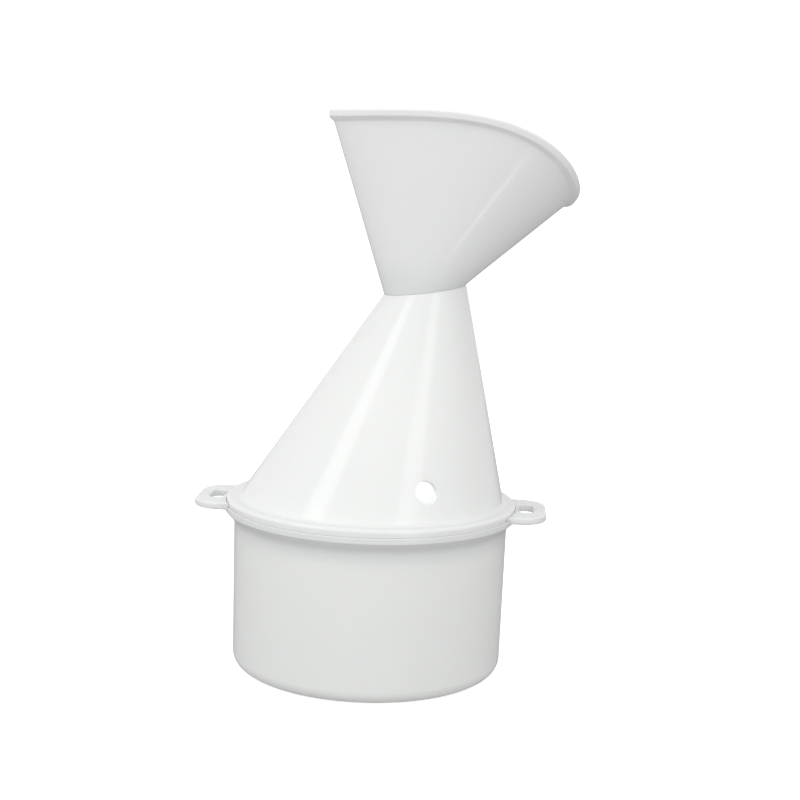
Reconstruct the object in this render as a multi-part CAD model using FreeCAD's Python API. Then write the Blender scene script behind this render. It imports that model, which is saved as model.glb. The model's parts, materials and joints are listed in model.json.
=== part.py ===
"""Steam inhaler in three nesting pieces: hot-water bowl, leaning hood, nose-and-mouth mask.

Millimetres, +Z up. The origin is the centre of the bowl's underside and +X runs through the
bowl's right ear. The hood drops into the bowl at any angle. It stands turned by HOOD_TURN,
and the mask on its neck shares its plane of symmetry, so both are drawn leaning along +X
and turned together at the end.
"""
import FreeCAD, Part
import math
import os

V = FreeCAD.Vector
UP = V(0, 0, 1)

# Bowl
WALL = 1.8                # moulded wall of the bowl
FLOOR = 2.0               # thickness of the bowl's floor
BOWL_FOOT_R = 64.4        # outer radius of the wall just above the bottom corner
BOWL_TOP_R = 65.0         # outer radius of the wall just under the rim
BOWL_CORNER = 6.0         # bottom corner, outside
FLARE_Z = 69.5            # height where the wall starts to turn out into the rim
RIM_R = 69.4              # outer radius of the rim
RIM_UNDER_Z = 75.0        # underside of the rim's edge
RIM_Z = 77.6              # top of the rim, where the hood sits
RIM_IN_R = 66.8           # inner radius of the rim's flat top
RIM_ROUND = 0.4           # rounding of the rim's upper edge

# Ears on the bowl's rim
EAR_REACH = 83.3          # tip of each ear from the bowl's axis
EAR_HALF = 21.0           # half the ear's width
EAR_CORNER = 12.0         # corner radius in plan
EAR_ROOT = 4.0            # fillet in plan where the ear leaves the rim
EAR_UNDER_Z = 75.8        # underside of the ears
EAR_TOP_Z = 79.2          # top of the ears, a little above the rim
EAR_ROUND = 1.0           # rounding of the ear's upper and lower edges
SEAT_GAP = 0.2            # clearance round the hood's flange, where the ears stand above the rim
SLOT_NEAR = 70.5          # inner end of the slot through the ear
SLOT_FAR = 77.2           # outer end of the slot
SLOT_HALF = 8.5           # half the slot's length
SLOT_CORNER = 2.8         # corner radius of the slot

# Hood
HOOD_TURN = 15.0          # degrees from +X to the way the hood leans, about the bowl's axis
HOOD_WALL = 1.9           # wall measured level
FLANGE_R = 68.8           # flange that rests on the bowl's rim
FLANGE_T = 3.6
FLANGE_ROUND = 1.6
CONE_R = 63.2             # foot of the leaning cone
CONE_FOOT_Z = 80.0
CONE_FILLET = 2.5         # cone into flange
SKIRT_R = 62.8            # ring that locates the hood inside the bowl
SKIRT_DEPTH = 12.0
SKIRT_T = 1.6
NECK_X = 22.2             # centre of the neck's seat
NECK_Z = 181.1
NECK_TILT = 9.2           # degrees the neck's axis leans back, away from the chin
NECK_R = 19.5             # outer radius where hood and mask meet
SHOULDER_ROUND = 0.8
SHOULDER_T = 2.2
SPIGOT_R = 17.5           # tube on the hood that the mask slips over
SPIGOT_T = 1.7
SPIGOT_LEN = 14.0

# Air inlet through the hood's wall
AIR_R = 5.2
AIR_Z = 95.0
AIR_ANGLE = -75.5         # degrees about the bowl's axis from the way the hood leans
AIR_RISE = 20.0           # degrees the inlet's axis points above level

# Mask: the rim is a saddle-shaped egg, wide at the chin and narrow at the nose
MASK_WALL = 1.6
SOCKET_R = 17.9           # bore of the mask's foot, over the spigot
MASK_LONG = 57.3          # half the rim's length, nose to chin
MASK_WIDE = 48.0          # half the rim's width before the egg factor
MASK_EGG = 0.45           # how much wider the chin half is
MASK_SADDLE = 17.0        # how far the cheeks stand above the nose and chin
MASK_SADDLE_SHIFT = 0.4   # how much of that height moves towards the chin
MASK_PITCH = 18.1         # degrees the rim slopes down from nose to chin
MASK_X = 30.8             # centre of the rim
MASK_Z = 238.7
LIP_OUT = 4.1             # how far the lip stands out from the wall
RIM_POINTS = 60           # points on each closed curve of the mask

# Lip section, outside to inside: (out from the wall, up from the wall's end)
LIP_SECTION = [
    (0.0, 0.0),
    (0.3, 0.8),
    (1.2, 1.4),
    (2.5, 1.7),
    (3.1, 2.2),
    (LIP_OUT, 4.3),
    (3.7, 5.0),
    (2.3, 5.3),
    (0.5, 4.8),
    (-1.0, 3.4),
    (-MASK_WALL, 1.2),
]


def polar(radius, degrees, z=0.0):
    angle = math.radians(degrees)
    return V(radius * math.cos(angle), radius * math.sin(angle), z)


def revolve(edges):
    """A closed section in the XZ plane, turned about the Z axis."""
    face = Part.Face(Part.Wire(edges))
    return face.revolve(V(0, 0, 0), UP, 360)


def line(a, b):
    return Part.makeLine(V(a[0], 0, a[1]), V(b[0], 0, b[1]))


def arc(a, middle, b):
    points = [V(p[0], 0, p[1]) for p in (a, middle, b)]
    return Part.Arc(*points).toShape()


def corner_middle(centre, radius, degrees):
    angle = math.radians(degrees)
    return (centre[0] + radius * math.cos(angle), centre[1] + radius * math.sin(angle))


def bowl_shell():
    """Thin cup with a slight draft, a round bottom corner and a flared rim."""
    corner_centre = (BOWL_FOOT_R - BOWL_CORNER, BOWL_CORNER)
    inner_corner = BOWL_CORNER - WALL
    inner_centre = (BOWL_FOOT_R - BOWL_CORNER, FLOOR + inner_corner)
    outside = [
        (0.0, 0.0),
        (corner_centre[0], 0.0),
        (BOWL_FOOT_R, BOWL_CORNER),
        (BOWL_TOP_R, FLARE_Z),
        (RIM_R, RIM_UNDER_Z),
        (RIM_R, RIM_Z - RIM_ROUND),
        (RIM_R - RIM_ROUND, RIM_Z),
    ]
    inside = [
        (RIM_IN_R, RIM_Z),
        (BOWL_TOP_R - WALL, FLARE_Z + 1.0),
        (BOWL_FOOT_R - WALL, inner_centre[1]),
        (inner_centre[0], FLOOR),
        (0.0, FLOOR),
    ]
    flare_outside = (BOWL_TOP_R + 1.4, FLARE_Z + 3.6)
    flare_inside = (BOWL_TOP_R - WALL + 1.2, FLARE_Z + 5.2)
    rim_centre = (RIM_R - RIM_ROUND, RIM_Z - RIM_ROUND)
    return revolve([
        line(outside[0], outside[1]),
        arc(outside[1], corner_middle(corner_centre, BOWL_CORNER, -45), outside[2]),
        line(outside[2], outside[3]),
        arc(outside[3], flare_outside, outside[4]),
        line(outside[4], outside[5]),
        arc(outside[5], corner_middle(rim_centre, RIM_ROUND, 45), outside[6]),
        line(outside[6], inside[0]),
        arc(inside[0], flare_inside, inside[1]),
        line(inside[1], inside[2]),
        arc(inside[2], corner_middle(inner_centre, inner_corner, -45), inside[3]),
        line(inside[3], inside[4]),
        line(inside[4], outside[0]),
    ])


def ear_outline():
    """Plan of the right ear: root fillets on the rim circle, then two round corners."""
    root_y = EAR_HALF + EAR_ROOT
    root_x = math.sqrt((RIM_R + EAR_ROOT) ** 2 - root_y ** 2)
    root_angle = math.degrees(math.atan2(root_y, root_x))
    corner_x = EAR_REACH - EAR_CORNER
    corner_y = EAR_HALF - EAR_CORNER
    half = math.sqrt(0.5)
    start = polar(RIM_R, root_angle)
    bend = V(root_x, root_y, 0) + polar(EAR_ROOT, (180 + root_angle + 270) / 2)
    edges = []
    for side in (1, -1):
        points = [
            V(RIM_IN_R - 6, start.y * side, 0),
            V(start.x, start.y * side, 0),
            V(bend.x, bend.y * side, 0),
            V(root_x, EAR_HALF * side, 0),
            V(corner_x, EAR_HALF * side, 0),
            V(corner_x + EAR_CORNER * half, (corner_y + EAR_CORNER * half) * side, 0),
            V(EAR_REACH, corner_y * side, 0),
        ]
        edges += [
            Part.makeLine(points[0], points[1]),
            Part.Arc(points[1], points[2], points[3]).toShape(),
            Part.makeLine(points[3], points[4]),
            Part.Arc(points[4], points[5], points[6]).toShape(),
        ]
    edges.append(Part.makeLine(V(EAR_REACH, corner_y, 0), V(EAR_REACH, -corner_y, 0)))
    edges.append(Part.makeLine(V(RIM_IN_R - 6, start.y, 0), V(RIM_IN_R - 6, -start.y, 0)))
    return Part.Wire(Part.__sortEdges__(edges))


def slot():
    """Cutter for the ear's finger slot, round-cornered in plan."""
    corner = V(SLOT_NEAR, -SLOT_HALF, EAR_UNDER_Z - 5)
    box = Part.makeBox(SLOT_FAR - SLOT_NEAR, 2 * SLOT_HALF, 20, corner)
    upright = [e for e in box.Edges if abs(e.tangentAt(e.FirstParameter).z) > 0.9]
    return box.makeFillet(SLOT_CORNER, upright)


def ear():
    thickness = EAR_TOP_Z - EAR_UNDER_Z
    plate = Part.Face(ear_outline()).extrude(V(0, 0, thickness))
    plate.translate(V(0, 0, EAR_UNDER_Z))
    outer = []
    for edge in plate.Edges:
        middle = edge.valueAt((edge.FirstParameter + edge.LastParameter) / 2)
        level = abs(middle.z - EAR_TOP_Z) < 0.01 or abs(middle.z - EAR_UNDER_Z) < 0.01
        if level and middle.x > RIM_IN_R:
            outer.append(edge)
    return plate.makeFillet(EAR_ROUND, outer)


def bowl():
    hollow = Part.makeCylinder(RIM_IN_R, 20, V(0, 0, RIM_UNDER_Z - 5), UP)
    seat = Part.makeCylinder(FLANGE_R + SEAT_GAP, 20, V(0, 0, RIM_Z), UP)
    right = ear().cut(hollow).cut(seat).cut(slot())
    left = right.copy()
    left.rotate(V(0, 0, 0), UP, 180)
    body = bowl_shell().fuse([right, left]).removeSplitter()
    return body.cut(slot()).cut(slot().rotate(V(0, 0, 0), UP, 180))


def neck_axis():
    angle = math.radians(NECK_TILT)
    return V(-math.sin(angle), 0, math.cos(angle))


def neck_centre(along=0.0):
    return V(NECK_X, 0, NECK_Z) + neck_axis() * along


def circle_wire(radius, centre, axis):
    return Part.Wire(Part.makeCircle(radius, centre, axis))


def leaning_cone(foot_radius, foot_z, neck_radius, neck_along):
    """Straight-sided solid from a level circle to the tilted circle at the neck."""
    foot = circle_wire(foot_radius, V(0, 0, foot_z), UP)
    top = circle_wire(neck_radius, neck_centre(neck_along), neck_axis())
    return Part.makeLoft([foot, top], True, True)


def neck_tube(radius, start, end):
    return Part.makeCylinder(radius, end - start, neck_centre(start), neck_axis())


def flange_and_skirt():
    bore = SKIRT_R - SKIRT_T
    top = RIM_Z + FLANGE_T
    round_centre = (FLANGE_R - FLANGE_ROUND, top - FLANGE_ROUND)
    lead = 0.5
    return revolve([
        line((bore, RIM_Z - SKIRT_DEPTH), (SKIRT_R - lead, RIM_Z - SKIRT_DEPTH)),
        line((SKIRT_R - lead, RIM_Z - SKIRT_DEPTH), (SKIRT_R, RIM_Z - SKIRT_DEPTH + lead)),
        line((SKIRT_R, RIM_Z - SKIRT_DEPTH + lead), (SKIRT_R, RIM_Z)),
        line((SKIRT_R, RIM_Z), (FLANGE_R, RIM_Z)),
        line((FLANGE_R, RIM_Z), (FLANGE_R, top - FLANGE_ROUND)),
        arc((FLANGE_R, top - FLANGE_ROUND), corner_middle(round_centre, FLANGE_ROUND, 45),
            (FLANGE_R - FLANGE_ROUND, top)),
        line((FLANGE_R - FLANGE_ROUND, top), (bore, top)),
        line((bore, top), (bore, RIM_Z - SKIRT_DEPTH)),
    ])


def edges_at_neck(shape, radius, along):
    """Circular edges of one radius in the plane that lies this far along the neck's axis."""
    found = []
    for edge in shape.Edges:
        if not isinstance(edge.Curve, Part.Circle):
            continue
        height = (edge.CenterOfMass - neck_centre()).dot(neck_axis())
        if abs(edge.Curve.Radius - radius) < 0.05 and abs(height - along) < 0.05:
            found.append(edge)
    return found


def foot_edges(shape):
    """Edges where the leaning cone stands on the flange's top."""
    top = RIM_Z + FLANGE_T
    found = []
    for edge in shape.Edges:
        box = edge.BoundBox
        level = abs(box.ZMin - top) < 0.01 and abs(box.ZMax - top) < 0.01
        if level and abs(box.XMax - CONE_R) < 1.0:
            found.append(edge)
    return found


def air_inlet():
    """Cutter for the round air hole near the hood's foot."""
    start = polar(40.0, AIR_ANGLE, AIR_Z - 17.0 * math.tan(math.radians(AIR_RISE)))
    level = polar(1.0, AIR_ANGLE)
    rise = math.radians(AIR_RISE)
    axis = level * math.cos(rise) + UP * math.sin(rise)
    return Part.makeCylinder(AIR_R, 40, start, axis)


def hood():
    outside = leaning_cone(CONE_R, CONE_FOOT_Z, NECK_R, 0.0)
    body = outside.fuse([flange_and_skirt()])
    body = body.makeFillet(CONE_FILLET, foot_edges(body))
    body = body.makeFillet(SHOULDER_ROUND, edges_at_neck(body, NECK_R, 0.0))
    body = body.fuse(neck_tube(SPIGOT_R, -1.0, SPIGOT_LEN))
    inner_neck = NECK_R - HOOD_WALL
    bore = SKIRT_R - SKIRT_T
    body = body.cut(leaning_cone(bore, CONE_FOOT_Z - 1.5, inner_neck, -SHOULDER_T))
    body = body.cut(Part.makeCylinder(bore, CONE_FOOT_Z - 1.5, V(0, 0, 0), UP))
    body = body.cut(neck_tube(SPIGOT_R - SPIGOT_T, -SHOULDER_T - 3.0, SPIGOT_LEN + 5.0))
    body = body.cut(air_inlet())
    return body.rotate(V(0, 0, 0), UP, HOOD_TURN)


def rim_frame(s):
    """Point on the end of the mask's wall, and the lip's outward and upward directions."""
    pitch = math.radians(MASK_PITCH)
    along = V(math.cos(pitch), 0, -math.sin(pitch))
    up = V(math.sin(pitch), 0, math.cos(pitch))
    side = V(0, 1, 0)
    x = MASK_LONG * math.cos(s)
    y = MASK_WIDE * math.sin(s) * (1 + MASK_EGG * math.cos(s))
    z = MASK_SADDLE * math.sin(s) ** 2 * (1 + MASK_SADDLE_SHIFT * math.cos(s))
    point = V(MASK_X, 0, MASK_Z) + along * x + side * y + up * z
    run_x = -MASK_LONG * math.sin(s)
    run_y = MASK_WIDE * (math.cos(s) + MASK_EGG * math.cos(2 * s))
    out = (along * run_y - side * run_x).normalize()
    return point, out, up


def closed_curve(points):
    steps = [i / len(points) for i in range(len(points) + 1)]
    spline = Part.BSplineCurve()
    spline.interpolate(Points=points, PeriodicFlag=True, Parameters=steps)
    return spline.toShape()


def around():
    return [2 * math.pi * i / RIM_POINTS for i in range(RIM_POINTS)]


def foot_curve(radius):
    """Circle of the mask's foot, in the plane of the neck's seat."""
    tilt = math.radians(NECK_TILT)
    across = V(math.cos(tilt), 0, math.sin(tilt))
    points = []
    for s in around():
        points.append(neck_centre() + across * (radius * math.cos(s)) + V(0, radius * math.sin(s), 0))
    return closed_curve(points)


def lip_curve(out_by, up_by):
    points = []
    for s in around():
        point, out, up = rim_frame(s)
        points.append(point + out * out_by + up * up_by)
    return closed_curve(points)


def mask():
    """One closed shell of strips between closed curves: wall, lip, inside wall and foot."""
    curves = [foot_curve(NECK_R)]
    curves += [lip_curve(out_by, up_by) for out_by, up_by in LIP_SECTION]
    curves.append(foot_curve(SOCKET_R))
    curves.append(curves[0])
    strips = []
    for first, second in zip(curves, curves[1:]):
        strips.append(Part.makeRuledSurface(first, second))
    shell = Part.Shell(strips)
    shell.sewShape()
    body = Part.Solid(shell)
    if body.Volume < 0:
        body.reverse()
    return body.rotate(V(0, 0, 0), UP, HOOD_TURN)


def main():
    os.makedirs("parts", exist_ok=True)
    nodes = {"bowl": bowl(), "hood": hood(), "mask": mask()}
    for name, shape in nodes.items():
        solid = shape.Solids[0]
        box = solid.BoundBox
        size = (box.XMin, box.XMax, box.YMin, box.YMax, box.ZMin, box.ZMax)
        print(name, len(shape.Solids), solid.isValid(), round(solid.Volume), [round(v, 2) for v in size])
        solid.exportStep("parts/" + name + ".step")


main()
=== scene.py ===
import json
import math

import bmesh
import bpy
from mathutils import Matrix, Vector


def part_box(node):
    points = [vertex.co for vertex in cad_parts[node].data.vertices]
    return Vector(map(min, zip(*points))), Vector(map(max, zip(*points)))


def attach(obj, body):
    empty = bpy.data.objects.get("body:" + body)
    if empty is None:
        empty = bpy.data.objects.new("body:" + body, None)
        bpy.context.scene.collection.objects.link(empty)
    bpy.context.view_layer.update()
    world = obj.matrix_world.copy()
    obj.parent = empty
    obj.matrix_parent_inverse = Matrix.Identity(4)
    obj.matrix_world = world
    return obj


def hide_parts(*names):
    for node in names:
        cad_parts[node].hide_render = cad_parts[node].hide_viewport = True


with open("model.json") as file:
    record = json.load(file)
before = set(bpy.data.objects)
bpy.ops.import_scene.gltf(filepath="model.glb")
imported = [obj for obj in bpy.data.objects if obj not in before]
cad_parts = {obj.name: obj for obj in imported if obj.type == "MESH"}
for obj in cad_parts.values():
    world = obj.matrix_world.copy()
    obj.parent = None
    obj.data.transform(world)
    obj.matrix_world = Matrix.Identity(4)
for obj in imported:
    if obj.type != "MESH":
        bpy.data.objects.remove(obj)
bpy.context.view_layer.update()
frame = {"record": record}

# Lengths are in millimetres until a mesh is made from them. Lamps, the camera and the room are
# placed in metres.
MM = 0.001
AROUND = 192              # steps round each piece
ARC_STEPS = 7             # steps in each rounded corner
SUPPORT = 0.3             # distance of the extra ring on each side of a rounded corner
FLOOR_RINGS = 5           # rings across the bowl's floor
BOWL_RINGS = 16           # rings up the bowl's wall
WALL_RINGS = 26           # rings up the long walls of hood and mask
SAME_POINT = 1e-6         # a ring narrower than this is a pole
SLIVER = 1e-6             # metres: edges shorter than this are dissolved
SHARP_EDGE = math.radians(40)


# ---------------------------------------------------------------- sizes read from the frame

def joint_axis(name):
    joints = frame["record"]["behaviour"]["joints"]
    return Vector(next(j["axis"] for j in joints if j["name"] == name))


LIFT_AXIS = joint_axis("mask_lift")
HOOD_TURN = math.atan2(-LIFT_AXIS.y, -LIFT_AXIS.x)
NECK_TILT = math.acos(LIFT_AXIS.z)
EAR_TIP_GAP = 0.1         # the visible ears are drawn this much shorter than the CAD's
BOWL_HIGH = Vector(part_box("bowl")[1]) / MM
HOOD_LOW, HOOD_HIGH = [Vector(v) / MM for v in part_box("hood")]
RIM_R = BOWL_HIGH.y
EAR_TOP_Z = BOWL_HIGH.z
EAR_REACH = BOWL_HIGH.x - EAR_TIP_GAP
FLANGE_R = HOOD_HIGH.y
SKIRT_Z = HOOD_LOW.z

# ---------------------------------------------------------------- sizes of the visible shapes

FOOT_R = 64.3             # bowl: outer radius at the floor, before the corner is rounded
WALL_TOP_R = 65.0
WALL_TOP_Z = 70.5
BOWL_CORNER = 6.0
BOWL_WALL = 1.8
BOWL_FLOOR = 2.0
RIM_UNDER_Z = 75.0
RIM_Z = 77.6
RIM_IN_R = 66.8
RIM_ROUND = 0.4
RIM_UNDER_ROUND = 0.6
RIM_IN_ROUND = 0.5
FLARE_R = 5.0
FLARE_IN_RISE = 2.5       # the flare starts this much higher on the inside

EAR_HALF = 21.0
EAR_CORNER = 12.0
EAR_ROOT = 4.0
EAR_ROOT_IN = 1.9         # the root starts this much nearer the axis than the ear's side
EAR_ROOT_OUT = 4.6        # and this much further out sideways
EAR_SEAT_R = 68.0         # the ear's inner end is buried in the rim, up to this radius
EAR_SEAT_ANGLES = (-21, -14, -7, 0, 7, 14, 21)
EAR_UNDER_Z = 75.8
EAR_ROUND = 1.0
SEAT_GAP = 0.2            # clearance between the ears and the hood's flange
SEAT_DEPTH = 0.1          # the cut for the flange starts this far below the rim's top
SEAT_TALL = 10
SLOT_NEAR = 70.5
SLOT_FAR = 77.2
SLOT_HALF = 8.5
SLOT_CORNER = 2.8
SLOT_ROUND = 0.6
EAR_POINTS = 160          # steps round the ear and its slot
OUTLINE_STEPS = 24        # parts of each outline leg when its radius is looked up

CONE_R = 63.2
CONE_FOOT_Z = 80.0
CONE_DROP = 1.5           # the cone's inside meets the skirt this far below its outside
CONE_FILLET = 2.5
FLANGE_T = 3.6
FLANGE_ROUND = 1.6
FLANGE_UNDER_ROUND = 0.35
SKIRT_R = 62.8
SKIRT_T = 1.6
SKIRT_ROUND = 0.5
EDGE_ROUND = 0.3          # plain edges of hood and mask
HOOD_WALL = 1.9
NECK_X = 22.2
NECK_Z = 181.1
NECK_R = 19.5
SHOULDER_ROUND = 0.8
SHOULDER_T = 2.2
SPIGOT_R = 17.5
SPIGOT_T = 1.7
SPIGOT_LEN = 14.0
SPIGOT_ROUND = 0.5
SPIGOT_FOOT_ROUND = 0.25
WALL_HEAD_ROUND = 0.4     # inside corner under the shoulder
WALL_FOOT_ROUND = 1.5     # inside corner over the skirt
AIR_R = 5.2
AIR_WALL_R = 57.0         # the hood's surface at the air inlet, from the upright axis
AIR_Z = 95.0
AIR_ANGLE = math.radians(-75.5)
AIR_RISE = math.radians(20.0)
AIR_DEPTH = 12            # reach of the cutter to each side of the surface
AIR_CHAMFER = 0.2         # the cutter widens from here outwards
AIR_WIDER = 6
AIR_STEPS = 96

SOCKET_R = 17.9
SOCKET_ROUND = 0.2
MASK_WALL = 1.6
MASK_LONG = 57.3
MASK_WIDE = 48.0
MASK_EGG = 0.45
MASK_SADDLE = 16.9
MASK_SADDLE_SHIFT = 0.4
MASK_PITCH = math.radians(18.1)
MASK_X = 30.8
MASK_Z = 238.7
LIP_OUT = 4.1
LIP_UP = 5.1
LIP_START_UP = 0.3        # the lip turns out of the wall here
LIP_START_ROUND = 1.3
LIP_UNDER_IN = 1.2        # the outer face overhangs by this much
LIP_UNDER_UP = 1.7
LIP_UNDER_ROUND = 0.6
LIP_EDGE_ROUND = 0.9
LIP_CREST_OUT = 0.4       # the top rolls over into the inside
LIP_CREST_ROUND = 2.8
LIP_INSIDE_UP = 1.2
LIP_INSIDE_ROUND = 2.0


# ---------------------------------------------------------------- mesh tools

def rounded(corners, closed):
    """Points along a path of (point, corner radius, rings on the leg that follows)."""
    points = []
    count = len(corners)
    entries = []
    for i, (corner, radius, rings) in enumerate(corners):
        if radius == 0:
            entries.append((corner, corner, [corner], rings))
            continue
        to_last = (corners[i - 1][0] - corner).normalized()
        to_next = (corners[(i + 1) % count][0] - corner).normalized()
        half = to_last.angle(to_next) / 2
        reach = radius / math.tan(half)
        centre = corner + (to_last + to_next).normalized() * (radius / math.sin(half))
        start = (corner + to_last * reach - centre).normalized()
        end = (corner + to_next * reach - centre).normalized()
        arc = [start.slerp(end, k / ARC_STEPS) for k in range(ARC_STEPS + 1)]
        bend = [centre + direction * radius for direction in arc]
        arrive = corner + to_last * (reach + SUPPORT)
        leave = corner + to_next * (reach + SUPPORT)
        entries.append((arrive, leave, [arrive] + bend + [leave], rings))
    for i, (arrive, leave, bend, rings) in enumerate(entries):
        points += bend
        if closed or i < count - 1:
            following = entries[(i + 1) % count][0]
            points += [leave.lerp(following, k / (rings + 1)) for k in range(1, rings + 1)]
    return points


def as_object(name, mesh):
    data = bpy.data.meshes.new(name)
    mesh.to_mesh(data)
    mesh.free()
    obj = bpy.data.objects.new(name, data)
    bpy.context.scene.collection.objects.link(obj)
    return obj


def skin_rings(name, rings, closed, turn=0.0):
    """Quads between rings of points in millimetres. A ring of one point is a pole."""
    mesh = bmesh.new()
    made = []
    steps = max(len(ring) for ring in rings)
    for ring in rings:
        verts = [mesh.verts.new(p * MM) for p in ring]
        made.append(verts * steps if len(verts) == 1 else verts)
    pairs = list(zip(made, made[1:]))
    if closed:
        pairs.append((made[-1], made[0]))
    for low, high in pairs:
        for i in range(steps):
            k = (i + 1) % steps
            face = list(dict.fromkeys((low[i], low[k], high[k], high[i])))
            mesh.faces.new(face)
    bmesh.ops.recalc_face_normals(mesh, faces=mesh.faces)
    turned = Matrix.Rotation(turn, 3, "Z")
    bmesh.ops.rotate(mesh, verts=mesh.verts, cent=(0, 0, 0), matrix=turned)
    return as_object(name, mesh)


def skin(name, meridian, closed, turn=0.0):
    """A piece from its meridian: the path of its section at each angle round the axis."""
    columns = [rounded(meridian(2 * math.pi * i / AROUND), closed) for i in range(AROUND)]
    rings = []
    for ring in zip(*columns):
        pole = (ring[0] - ring[AROUND // 2]).length < SAME_POINT
        rings.append(ring[:1] if pole else ring)
    return skin_rings(name, rings, closed, turn)


def combine(target, other, operation):
    """Applies one boolean to target's mesh and removes the other object."""
    modifier = target.modifiers.new("combine", "BOOLEAN")
    modifier.operation = operation
    modifier.solver = "MANIFOLD"
    modifier.object = other
    depsgraph = bpy.context.evaluated_depsgraph_get()
    data = bpy.data.meshes.new_from_object(target.evaluated_get(depsgraph))
    target.modifiers.clear()
    target.data = data
    bpy.data.objects.remove(other)


def finish_mesh(obj):
    """Drops the booleans' slivers and shades smooth, with the few square edges kept sharp."""
    mesh = bmesh.new()
    mesh.from_mesh(obj.data)
    bmesh.ops.dissolve_degenerate(mesh, dist=SLIVER, edges=mesh.edges)
    mesh.to_mesh(obj.data)
    mesh.free()
    obj.data.shade_smooth()
    obj.data.set_sharp_from_angle(angle=SHARP_EDGE)
    weighted = obj.modifiers.new("normals", "WEIGHTED_NORMAL")
    weighted.keep_sharp = True


# ---------------------------------------------------------------- bowl

def level(radius, z, s):
    return Vector((radius * math.cos(s), radius * math.sin(s), z))


def bowl_meridian(s):
    """From the middle of the underside, up the outside, over the rim and down the inside."""
    return [
        (level(0, 0, s), 0, FLOOR_RINGS),
        (level(FOOT_R, 0, s), BOWL_CORNER, BOWL_RINGS),
        (level(WALL_TOP_R, WALL_TOP_Z, s), FLARE_R, 1),
        (level(RIM_R, RIM_UNDER_Z, s), RIM_UNDER_ROUND, 0),
        (level(RIM_R, RIM_Z, s), RIM_ROUND, 1),
        (level(RIM_IN_R, RIM_Z, s), RIM_IN_ROUND, 1),
        (level(WALL_TOP_R - BOWL_WALL, WALL_TOP_Z + FLARE_IN_RISE, s), FLARE_R, BOWL_RINGS),
        (level(FOOT_R - BOWL_WALL, BOWL_FLOOR, s), BOWL_CORNER - BOWL_WALL, FLOOR_RINGS),
        (level(0, BOWL_FLOOR, s), 0, 0),
    ]


def outline_radius(corners, angles, centre):
    """Distance from centre to a rounded outline, at each of the angles."""
    path = [p.to_2d() - centre for p in rounded(corners, True)]
    legs = zip(path, path[1:] + path[:1])
    path = [p.lerp(q, k / OUTLINE_STEPS) for p, q in legs for k in range(OUTLINE_STEPS)]
    polar = sorted((math.atan2(p.y, p.x), p.length) for p in path)
    radii = []
    for angle in angles:
        nearest = min(range(len(polar)), key=lambda i: abs(polar[i][0] - angle))
        radii.append(polar[nearest][1])
    return radii


def ear_outline():
    """Plan of the right ear: seat inside the rim, root fillets and two round corners."""
    root_x = math.sqrt(RIM_R ** 2 - EAR_HALF ** 2)
    side = [
        (Vector((root_x - EAR_ROOT_IN, EAR_HALF + EAR_ROOT_OUT, 0)), 0, 0),
        (Vector((root_x, EAR_HALF, 0)), EAR_ROOT, 0),
        (Vector((EAR_REACH, EAR_HALF, 0)), EAR_CORNER, 0),
    ]
    mirrored = [(Vector((p.x, -p.y, 0)), r, 0) for p, r, _ in reversed(side)]
    seat = [(level(EAR_SEAT_R, 0, math.radians(a)), 0, 0) for a in EAR_SEAT_ANGLES]
    return side + mirrored + seat


def slot_outline():
    corners = ((SLOT_FAR, 1), (SLOT_FAR, -1), (SLOT_NEAR, -1), (SLOT_NEAR, 1))
    return [(Vector((x, SLOT_HALF * y, 0)), SLOT_CORNER, 0) for x, y in corners]


def offset(ring, distance):
    """A plan outline moved outwards by a distance, inwards if it is negative."""
    moved = []
    for i, point in enumerate(ring):
        along = (ring[(i + 1) % len(ring)] - ring[i - 1]).normalized()
        moved.append(point + Vector((along.y, -along.x, 0)) * distance)
    return moved


def at_height(ring, z):
    return [Vector((p.x, p.y, z)) for p in ring]


def ear(name, turn):
    """One slotted ear: a plate with a round-edged outline and a round-edged slot."""
    centre = Vector(((SLOT_NEAR + SLOT_FAR) / 2, 0))
    angles = [-math.pi + 2 * math.pi * (i + 0.5) / EAR_POINTS for i in range(EAR_POINTS)]
    plans = []
    for corners in (ear_outline(), slot_outline()):
        radii = outline_radius(corners, angles, centre)
        plan = [centre + Vector((math.cos(a), math.sin(a))) * r for a, r in zip(angles, radii)]
        plans.append([p.to_3d() for p in plan])
    outer, slot = plans
    low, high = EAR_UNDER_Z, EAR_TOP_Z
    arc = [math.radians(90 * k / ARC_STEPS) for k in range(ARC_STEPS + 1)]
    rings = []
    for a in arc:
        inset = EAR_ROUND * (1 - math.sin(a))
        rings.append(at_height(offset(outer, -inset), low + EAR_ROUND * (1 - math.cos(a))))
    for a in arc:
        inset = EAR_ROUND * (1 - math.cos(a))
        rings.append(at_height(offset(outer, -inset), high - EAR_ROUND * (1 - math.sin(a))))
    for a in arc:
        outset = SLOT_ROUND * (1 - math.sin(a))
        rings.append(at_height(offset(slot, outset), high - SLOT_ROUND * (1 - math.cos(a))))
    for a in arc:
        outset = SLOT_ROUND * (1 - math.cos(a))
        rings.append(at_height(offset(slot, outset), low + SLOT_ROUND * (1 - math.sin(a))))
    return skin_rings(name, rings, True, turn)


def seat_cutter():
    """Clears the ears away from the hood's seat, above the rim."""
    low, high = Vector((0, 0, RIM_Z - SEAT_DEPTH)), Vector((0, 0, RIM_Z + SEAT_TALL))
    circle = [level(FLANGE_R + SEAT_GAP, 0, 2 * math.pi * i / AROUND) for i in range(AROUND)]
    rings = [[low], at_height(circle, low.z), at_height(circle, high.z), [high]]
    return skin_rings("seat_cutter", rings, False)


def make_bowl():
    bowl = skin("bowl_moulding", bowl_meridian, False)
    for name, turn in (("ear_right", 0.0), ("ear_left", math.pi)):
        handle = ear(name, turn)
        combine(handle, seat_cutter(), "DIFFERENCE")
        combine(bowl, handle, "UNION")
    return bowl


# ---------------------------------------------------------------- hood

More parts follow.
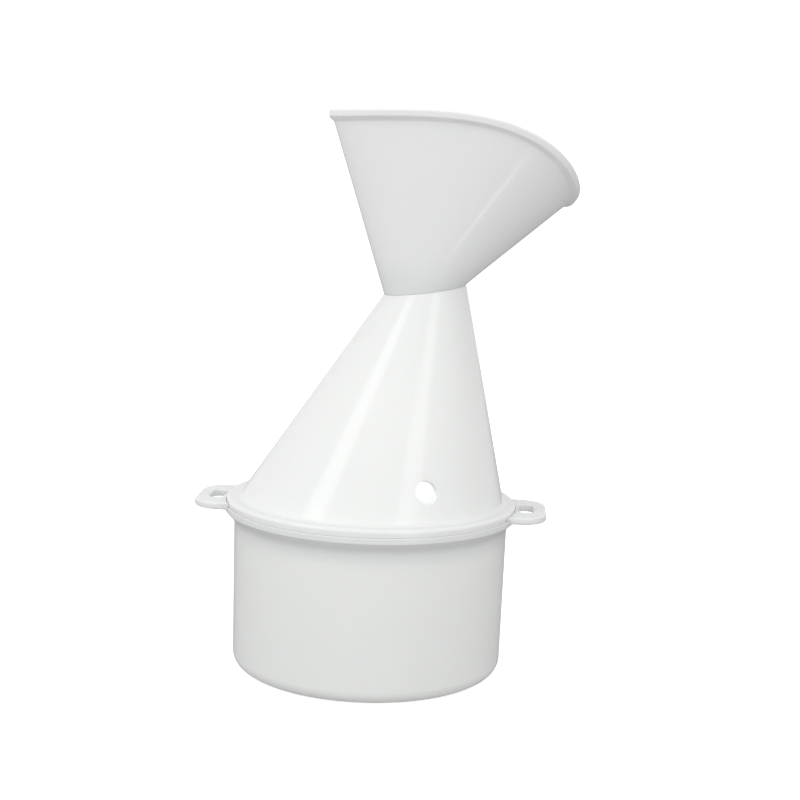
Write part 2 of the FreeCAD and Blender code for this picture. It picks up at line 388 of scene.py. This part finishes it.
NECK_AXIS = Vector((-math.sin(NECK_TILT), 0, math.cos(NECK_TILT)))
NECK_ACROSS = Vector((math.cos(NECK_TILT), 0, math.sin(NECK_TILT)))
NECK_CENTRE = Vector((NECK_X, 0, NECK_Z))


def at_neck(radius, along, s):
    """Point on a circle about the neck's tilted axis."""
    sideways = Vector((0, math.sin(s), 0))
    return NECK_CENTRE + NECK_AXIS * along + (NECK_ACROSS * math.cos(s) + sideways) * radius


def hood_meridian(s):
    """Round the hood's section: skirt, flange, cone, shoulder, spigot and back down inside."""
    bore = SKIRT_R - SKIRT_T
    flange_z = RIM_Z + FLANGE_T
    foot = level(CONE_R, CONE_FOOT_Z, s)
    seat = at_neck(NECK_R, 0, s)
    foot = foot.lerp(seat, (flange_z - foot.z) / (seat.z - foot.z))
    tube = SPIGOT_R - SPIGOT_T
    return [
        (level(bore, SKIRT_Z, s), EDGE_ROUND, 0),
        (level(SKIRT_R, SKIRT_Z, s), SKIRT_ROUND, 2),
        (level(SKIRT_R, RIM_Z, s), EDGE_ROUND, 0),
        (level(FLANGE_R, RIM_Z, s), FLANGE_UNDER_ROUND, 0),
        (level(FLANGE_R, flange_z, s), FLANGE_ROUND, 0),
        (foot, CONE_FILLET, WALL_RINGS),
        (seat, SHOULDER_ROUND, 0),
        (at_neck(SPIGOT_R, 0, s), SPIGOT_FOOT_ROUND, 3),
        (at_neck(SPIGOT_R, SPIGOT_LEN, s), SPIGOT_ROUND, 0),
        (at_neck(tube, SPIGOT_LEN, s), SPIGOT_ROUND, 4),
        (at_neck(tube, -SHOULDER_T, s), EDGE_ROUND, 0),
        (at_neck(NECK_R - HOOD_WALL, -SHOULDER_T, s), WALL_HEAD_ROUND, WALL_RINGS),
        (level(bore, CONE_FOOT_Z - CONE_DROP, s), WALL_FOOT_ROUND, 2),
    ]


def air_cutter():
    """Round cutter, square to the hood's wall, with a small chamfer outside."""
    level_out = Vector((math.cos(AIR_ANGLE), math.sin(AIR_ANGLE), 0))
    axis = level_out * math.cos(AIR_RISE) + Vector((0, 0, math.sin(AIR_RISE)))
    side = axis.cross(Vector((0, 0, 1))).normalized()
    up = side.cross(axis)
    surface = level_out * AIR_WALL_R + Vector((0, 0, AIR_Z))
    rings = [[surface - axis * AIR_DEPTH]]
    profile = ((-AIR_DEPTH, AIR_R), (AIR_CHAMFER, AIR_R), (AIR_DEPTH, AIR_R + AIR_WIDER))
    for along, radius in profile:
        ring = []
        for i in range(AIR_STEPS):
            a = 2 * math.pi * i / AIR_STEPS
            ring.append(surface + axis * along + (side * math.cos(a) + up * math.sin(a)) * radius)
        rings.append(ring)
    rings.append([surface + axis * AIR_DEPTH])
    return skin_rings("air_cutter", rings, False, HOOD_TURN)


def make_hood():
    hood = skin("hood_moulding", hood_meridian, True, HOOD_TURN)
    combine(hood, air_cutter(), "DIFFERENCE")
    return hood


# ---------------------------------------------------------------- mask

MASK_ALONG = Vector((math.cos(MASK_PITCH), 0, -math.sin(MASK_PITCH)))
MASK_UP = Vector((math.sin(MASK_PITCH), 0, math.cos(MASK_PITCH)))
SIDE = Vector((0, 1, 0))


def at_lip(out_by, up_by, s):
    """Point beside the end of the mask's wall: the rim is a saddle-shaped egg."""
    x = MASK_LONG * math.cos(s)
    y = MASK_WIDE * math.sin(s) * (1 + MASK_EGG * math.cos(s))
    z = MASK_SADDLE * math.sin(s) ** 2 * (1 + MASK_SADDLE_SHIFT * math.cos(s))
    run_x = -MASK_LONG * math.sin(s)
    run_y = MASK_WIDE * (math.cos(s) + MASK_EGG * math.cos(2 * s))
    out = (MASK_ALONG * run_y - SIDE * run_x).normalized()
    point = Vector((MASK_X, 0, MASK_Z)) + MASK_ALONG * x + SIDE * y + MASK_UP * z
    return point + out * out_by + MASK_UP * up_by


def mask_meridian(s):
    """Round the mask's section: foot, wall outside, lip, wall inside."""
    return [
        (at_neck(SOCKET_R, 0, s), SOCKET_ROUND, 0),
        (at_neck(NECK_R, 0, s), EDGE_ROUND, WALL_RINGS),
        (at_lip(0, LIP_START_UP, s), LIP_START_ROUND, 0),
        (at_lip(LIP_OUT - LIP_UNDER_IN, LIP_UNDER_UP, s), LIP_UNDER_ROUND, 0),
        (at_lip(LIP_OUT, LIP_UP, s), LIP_EDGE_ROUND, 0),
        (at_lip(LIP_CREST_OUT, LIP_UP, s), LIP_CREST_ROUND, 0),
        (at_lip(-MASK_WALL, LIP_INSIDE_UP, s), LIP_INSIDE_ROUND, WALL_RINGS),
    ]


def make_mask():
    return skin("mask_moulding", mask_meridian, True, HOOD_TURN)


# ---------------------------------------------------------------- materials

def node(tree, kind, place, **values):
    made = tree.nodes.new(kind)
    made.location = place
    for key, value in values.items():
        if hasattr(made, key):
            setattr(made, key, value)
        else:
            made.inputs[key.replace("_", " ")].default_value = value
    return made


# colour sockets of a Mix node
MIX_FACTOR, MIX_A, MIX_B, MIX_RESULT = 0, 6, 7, 2
ROUGHNESS_SPREAD = (-0.05, 0.06)
STUDIO_DARK, STUDIO_LIGHT = (0.90, 0.90, 0.90), (0.93, 0.93, 0.93)


def cloudy_colour(tree, where, shader, scale, detail, dark, light):
    """Base colour that drifts between two tones."""
    cloud = node(tree, "ShaderNodeTexNoise", (-800, 300), Scale=scale, Detail=detail)
    tint = node(tree, "ShaderNodeMix", (-300, 300), data_type="RGBA")
    tint.inputs[MIX_A].default_value = (*dark, 1)
    tint.inputs[MIX_B].default_value = (*light, 1)
    tree.links.new(where.outputs["Object"], cloud.inputs["Vector"])
    tree.links.new(cloud.outputs["Fac"], tint.inputs[MIX_FACTOR])
    tree.links.new(tint.outputs[MIX_RESULT], shader.inputs["Base Color"])


def moulded_plastic(name, light, dark, roughness, scatter):
    """White moulded polypropylene: cloudy colour, fine mould texture and drag lines."""
    material = bpy.data.materials.new(name)
    material.use_nodes = True
    tree = material.node_tree
    shader = tree.nodes["Principled BSDF"]
    shader.inputs["IOR"].default_value = 1.49
    shader.inputs["Subsurface Weight"].default_value = scatter
    shader.inputs["Subsurface Radius"].default_value = (1.0, 0.95, 0.85)
    shader.inputs["Subsurface Scale"].default_value = 0.005
    where = node(tree, "ShaderNodeTexCoord", (-1200, 0))
    cloudy_colour(tree, where, shader, 28.0, 3.0, dark, light)

    stretch = node(tree, "ShaderNodeMapping", (-1000, -100))
    stretch.inputs["Scale"].default_value = (260, 260, 9)
    drag = node(tree, "ShaderNodeTexNoise", (-800, -100), Scale=1.0, Detail=2.0)
    rough = node(tree, "ShaderNodeMapRange", (-300, -100))
    rough.inputs["To Min"].default_value = roughness + ROUGHNESS_SPREAD[0]
    rough.inputs["To Max"].default_value = roughness + ROUGHNESS_SPREAD[1]
    tree.links.new(where.outputs["Object"], stretch.inputs["Vector"])
    tree.links.new(stretch.outputs["Vector"], drag.inputs["Vector"])
    tree.links.new(drag.outputs["Fac"], rough.inputs["Value"])
    tree.links.new(rough.outputs["Result"], shader.inputs["Roughness"])

    grain = node(tree, "ShaderNodeTexNoise", (-800, -400), Scale=1500.0, Detail=3.0)
    wave = node(tree, "ShaderNodeTexNoise", (-800, -650), Scale=90.0, Detail=1.0)
    fine = node(tree, "ShaderNodeBump", (-200, -400))
    fine.inputs["Strength"].default_value = 0.10
    fine.inputs["Distance"].default_value = 0.00002
    broad = node(tree, "ShaderNodeBump", (-450, -600))
    broad.inputs["Strength"].default_value = 0.12
    broad.inputs["Distance"].default_value = 0.0003
    tree.links.new(where.outputs["Object"], grain.inputs["Vector"])
    tree.links.new(where.outputs["Object"], wave.inputs["Vector"])
    tree.links.new(wave.outputs["Fac"], broad.inputs["Height"])
    tree.links.new(grain.outputs["Fac"], fine.inputs["Height"])
    tree.links.new(broad.outputs["Normal"], fine.inputs["Normal"])
    tree.links.new(fine.outputs["Normal"], shader.inputs["Normal"])
    return material


def studio_white(name, glow):
    """Matt white studio surface with a faint cloudiness and a little light of its own."""
    material = bpy.data.materials.new(name)
    material.use_nodes = True
    tree = material.node_tree
    shader = tree.nodes["Principled BSDF"]
    shader.inputs["Roughness"].default_value = 0.9
    shader.inputs["Emission Color"].default_value = (1, 1, 1, 1)
    shader.inputs["Emission Strength"].default_value = glow
    where = node(tree, "ShaderNodeTexCoord", (-1200, 0))
    cloudy_colour(tree, where, shader, 3.0, 2.0, STUDIO_DARK, STUDIO_LIGHT)
    return material


# ---------------------------------------------------------------- studio

AIM = Vector((11.88, 0.73, 128.4)) * MM
CAMERA_DISTANCE = 0.7
CAMERA_TURN = math.radians(3.5)
CAMERA_RISE = math.radians(8.47)
CAMERA_ROLL = math.radians(2.18)
CAMERA_LENS = 66.5

ROOM_RADIUS = 8.0
ROOM_STEPS = 96
FLOOR_GLOW = 0.55
DOME_GLOW = 1.1
SKY_LIGHT = 0.85
GROUND_LIGHT = 0.40
HORIZON_LOW = -0.15       # the ground's light blends into the sky's from here up to the horizon
LEFT_SHARE = 1.03
RIGHT_SHARE = 0.92
INSIDE = Vector((14, 2, 108)) * MM
INSIDE_SIZE = 0.015
INSIDE_WATTS = 0.08
# name, azimuth from the camera's side towards +X, rise, distance, width, height, watts,
# and whether its own reflection shows. low_strip stands below the floor, which lets it through.
LAMPS = (
    ("strip_left", -54, 42, 1.2, 0.34, 0.8, 1.5, True),
    ("strip_right", 35, 20, 1.2, 0.36, 1.7, 2.7, True),
    ("front", -20, 15, 1.6, 1.0, 1.0, 3.2, False),
    ("side_left", -115, 0, 1.6, 0.6, 1.2, 1.4, False),
    ("low_strip", 18, -45, 1.2, 0.07, 0.24, 0.16, True),
)


def make_camera():
    data = bpy.data.cameras.new("camera")
    data.lens = CAMERA_LENS
    camera = bpy.data.objects.new("camera", data)
    bpy.context.scene.collection.objects.link(camera)
    turned = Matrix.Rotation(CAMERA_TURN, 3, "Z")
    back = turned @ Vector((0, -math.cos(CAMERA_RISE), math.sin(CAMERA_RISE)))
    right = turned @ Vector((1, 0, 0))
    up = back.cross(right)
    rolled_right = right * math.cos(CAMERA_ROLL) + up * math.sin(CAMERA_ROLL)
    rolled_up = up * math.cos(CAMERA_ROLL) - right * math.sin(CAMERA_ROLL)
    axes = Matrix((rolled_right, rolled_up, back)).transposed().to_4x4()
    camera.matrix_world = Matrix.Translation(AIM + back * CAMERA_DISTANCE) @ axes
    data.clip_start = 0.01
    data.clip_end = 50
    bpy.context.scene.camera = camera


def softbox(name, azimuth, rise, distance, width, height, watts, mirrored):
    """A rectangular lamp facing the object. Azimuth 0 is the camera's side, 90 is +X."""
    data = bpy.data.lights.new(name, "AREA")
    data.shape = "RECTANGLE"
    data.size = width
    data.size_y = height
    data.energy = watts
    lamp = bpy.data.objects.new(name, data)
    a, e = math.radians(azimuth), math.radians(rise)
    away = Vector((math.sin(a) * math.cos(e), -math.cos(a) * math.cos(e), math.sin(e)))
    lamp.location = AIM + away * distance
    lamp.rotation_mode = "QUATERNION"
    lamp.rotation_quaternion = away.to_track_quat("Z", "Y")
    lamp.visible_glossy = mirrored
    bpy.context.scene.collection.objects.link(lamp)


def glow_inside():
    """A small lamp that brightens the hood's inside, so that the air inlet looks white."""
    data = bpy.data.lights.new("inside", "POINT")
    data.energy = INSIDE_WATTS
    data.shadow_soft_size = INSIDE_SIZE
    lamp = bpy.data.objects.new("inside", data)
    lamp.location = INSIDE
    lamp.visible_camera = False
    lamp.visible_glossy = False
    bpy.context.scene.collection.objects.link(lamp)


def make_sky():
    """Plain soft surroundings, dimmer below the horizon and a little dimmer towards +X."""
    world = bpy.data.worlds.new("studio")
    world.use_nodes = True
    tree = world.node_tree
    sky = tree.nodes["Background"]
    sky.inputs["Color"].default_value = (1, 1, 1, 1)
    where = node(tree, "ShaderNodeTexCoord", (-800, 0))
    split = node(tree, "ShaderNodeSeparateXYZ", (-600, 0))
    blend = node(tree, "ShaderNodeMapRange", (-400, 0), interpolation_type="SMOOTHSTEP")
    blend.inputs["From Min"].default_value = HORIZON_LOW
    blend.inputs["From Max"].default_value = 0.0
    blend.inputs["To Min"].default_value = GROUND_LIGHT
    blend.inputs["To Max"].default_value = SKY_LIGHT
    aside = node(tree, "ShaderNodeMapRange", (-400, -300))
    aside.inputs["From Min"].default_value = -1.0
    aside.inputs["To Min"].default_value = LEFT_SHARE
    aside.inputs["To Max"].default_value = RIGHT_SHARE
    both = node(tree, "ShaderNodeMath", (-200, 0), operation="MULTIPLY")
    tree.links.new(where.outputs["Generated"], split.inputs["Vector"])
    tree.links.new(split.outputs["Z"], blend.inputs["Value"])
    tree.links.new(split.outputs["X"], aside.inputs["Value"])
    tree.links.new(blend.outputs["Result"], both.inputs[0])
    tree.links.new(aside.outputs["Result"], both.inputs[1])
    tree.links.new(both.outputs["Value"], sky.inputs["Strength"])
    bpy.context.scene.world = world


def only_seen(obj):
    """The object shows to the camera and takes shadows, but neither lights nor shades others."""
    obj.visible_diffuse = False
    obj.visible_glossy = False
    obj.visible_transmission = False
    obj.visible_shadow = False


def make_room():
    """A wide pale floor inside a plain white dome."""
    mesh = bmesh.new()
    bmesh.ops.create_circle(mesh, cap_ends=True, radius=ROOM_RADIUS, segments=ROOM_STEPS)
    floor = as_object("studio_floor", mesh)
    floor.data.materials.append(studio_white("studio_floor", FLOOR_GLOW))
    only_seen(floor)
    mesh = bmesh.new()
    bands = ROOM_STEPS // 2
    bmesh.ops.create_uvsphere(mesh, u_segments=ROOM_STEPS, v_segments=bands, radius=ROOM_RADIUS)
    dome = as_object("studio_dome", mesh)
    dome.data.materials.append(studio_white("studio_dome", DOME_GLOW))
    only_seen(dome)


def make_studio():
    bpy.context.scene.view_settings.view_transform = "Standard"
    make_sky()
    make_room()
    for lamp in LAMPS:
        softbox(*lamp)
    glow_inside()


# ---------------------------------------------------------------- the object

# node, maker, light and dark colour of the plastic, roughness, share of light that scatters
# below the surface
PIECES = (
    ("bowl", make_bowl, (0.835, 0.85, 0.835), (0.815, 0.83, 0.815), 0.16, 0.3),
    ("hood", make_hood, (0.86, 0.873, 0.862), (0.842, 0.855, 0.844), 0.12, 0.1),
    ("mask", make_mask, (0.905, 0.918, 0.908), (0.885, 0.898, 0.888), 0.14, 0.3),
)

make_camera()
make_studio()
for node_name, make, light, dark, roughness, scatter in PIECES:
    piece = make()
    finish_mesh(piece)
    material = moulded_plastic(node_name + "_plastic", light, dark, roughness, scatter)
    piece.data.materials.clear()
    piece.data.materials.append(material)
    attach(piece, node_name)
    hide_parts(node_name)
